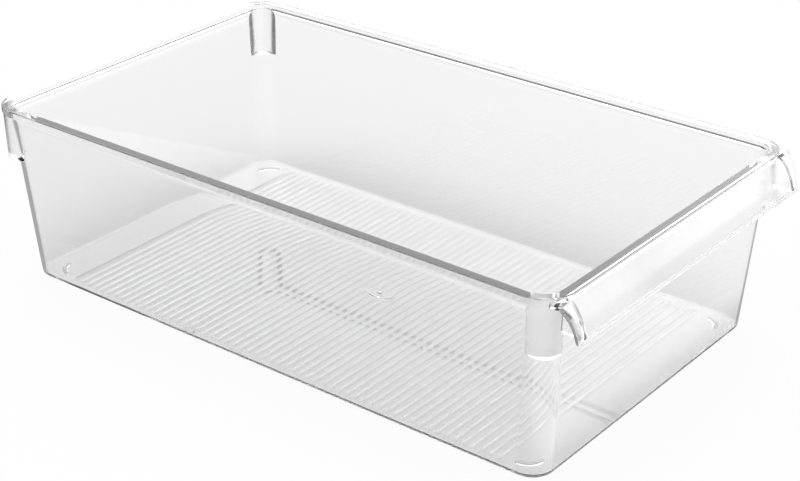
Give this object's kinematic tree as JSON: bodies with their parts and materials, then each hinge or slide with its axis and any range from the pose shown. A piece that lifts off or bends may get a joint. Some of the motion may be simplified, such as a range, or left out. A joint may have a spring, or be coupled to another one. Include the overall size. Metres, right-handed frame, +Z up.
{
  "type": "fridge bin",
  "caption": "Clear open-top storage bin with tapered walls, a ribbed floor, a flanged rim, nesting stops under the rim corners and a curved pull lip along the front.",
  "frame": {"origin": "on the shelf, under the middle of the whole bin with its lip", "axes": "+Z up out of the open top, +Y along the bin away from the pull lip, +X to the right seen from the lip"},
  "size_m": [0.2, 0.3448, 0.095],
  "materials": {
    "clear_plastic": "clear polished moulding, glossy on both faces"
  },
  "bodies": {
    "root": {"floor_panel": "clear_plastic", "left_wall": "clear_plastic", "right_wall": "clear_plastic", "front_wall": "clear_plastic", "rear_wall": "clear_plastic", "corner_front_left": "clear_plastic", "corner_front_right": "clear_plastic", "corner_rear_left": "clear_plastic", "corner_rear_right": "clear_plastic", "rim_left": "clear_plastic", "rim_right": "clear_plastic", "rim_front": "clear_plastic", "rim_rear": "clear_plastic", "rim_corner_front_left": "clear_plastic", "rim_corner_front_right": "clear_plastic", "rim_corner_rear_left": "clear_plastic", "rim_corner_rear_right": "clear_plastic", "nesting_stop_front_left": "clear_plastic", "nesting_stop_front_right": "clear_plastic", "nesting_stop_rear_left": "clear_plastic", "nesting_stop_rear_right": "clear_plastic", "foot_front_left": "clear_plastic", "foot_front_right": "clear_plastic", "foot_rear_left": "clear_plastic", "foot_rear_right": "clear_plastic", "pull_lip": "clear_plastic", "lip_web_left": "clear_plastic", "lip_web_right": "clear_plastic"}
  },
  "joints": []
}
